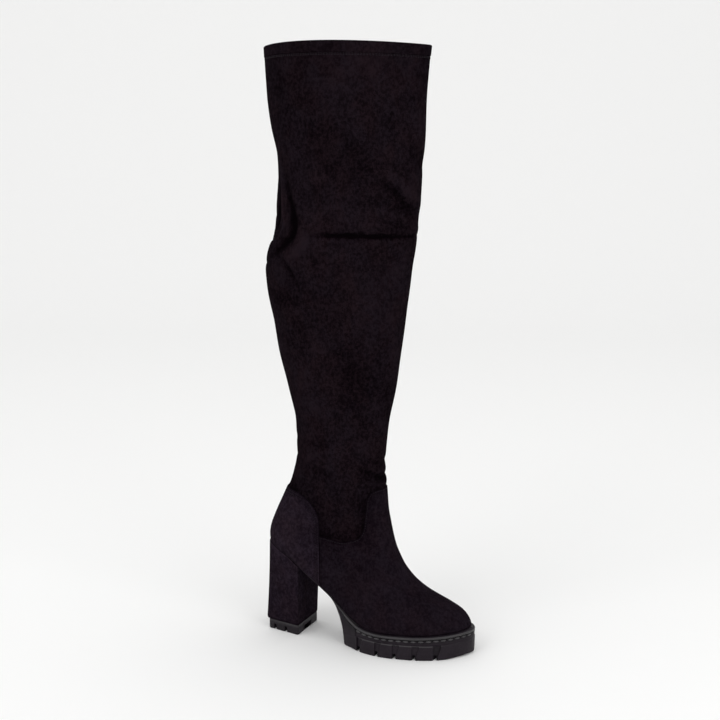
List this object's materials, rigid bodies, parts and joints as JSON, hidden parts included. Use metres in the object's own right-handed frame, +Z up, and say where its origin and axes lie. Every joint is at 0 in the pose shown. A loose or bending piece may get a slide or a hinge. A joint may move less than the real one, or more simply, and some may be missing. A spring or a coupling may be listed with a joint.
{
  "type": "over-the-knee heeled boot",
  "caption": "Right pull-on boot that reaches over the knee, with a covered block heel, a lugged platform sole, a tabbed vamp and a curved counter.",
  "frame": {"origin": "middle of the heel's ground face, on the floor plane", "axes": "+X to the toe, +Y to the inner side of the right foot, +Z up the shaft"},
  "size_m": [0.2388, 0.1134, 0.6473],
  "materials": {
    "shaft_microsuede": "black stretch microsuede, brushed nap, no gloss",
    "panel_microsuede": "black microsuede on a backing, brushed nap",
    "lining": "dark knitted lining",
    "sole_rubber": "dark grey moulded rubber, satin"
  },
  "bodies": {
    "root": {"upper": "shaft_microsuede", "vamp": "panel_microsuede", "counter": "panel_microsuede", "insole": "lining", "outsole": "sole_rubber", "welt": "sole_rubber", "heel": "panel_microsuede", "heel_top_piece": "sole_rubber"}
  },
  "joints": []
}
